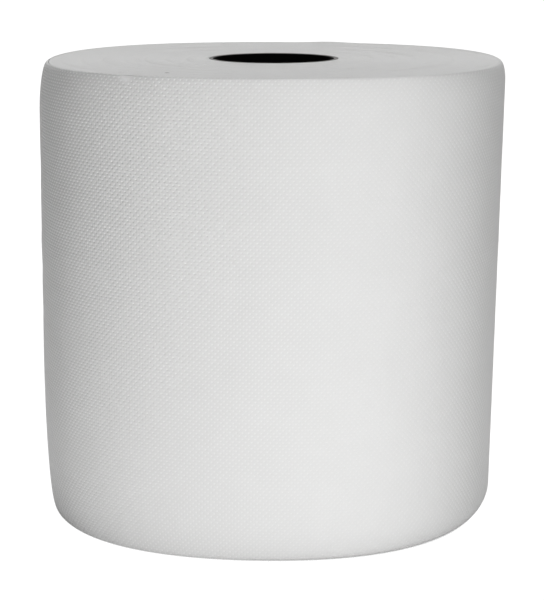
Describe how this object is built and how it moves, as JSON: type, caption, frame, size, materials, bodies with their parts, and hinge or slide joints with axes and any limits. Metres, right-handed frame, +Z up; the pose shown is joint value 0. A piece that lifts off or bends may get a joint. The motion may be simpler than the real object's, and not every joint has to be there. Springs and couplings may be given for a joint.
{
  "type": "paper towel roll",
  "caption": "White embossed paper towel wound on a board tube, standing on one end, with an open bore from end to end.",
  "frame": {"origin": "centre of the end that the roll stands on", "axes": "+Z up along the roll's axis, -Y towards the front"},
  "size_m": [0.2002, 0.2004, 0.195],
  "materials": {
    "paper": "matt, embossed with small dots",
    "core_board": "matt, dark lining, pale sawn ends"
  },
  "bodies": {
    "root": {"paper_roll": "paper", "core_tube": "core_board"}
  },
  "joints": []
}
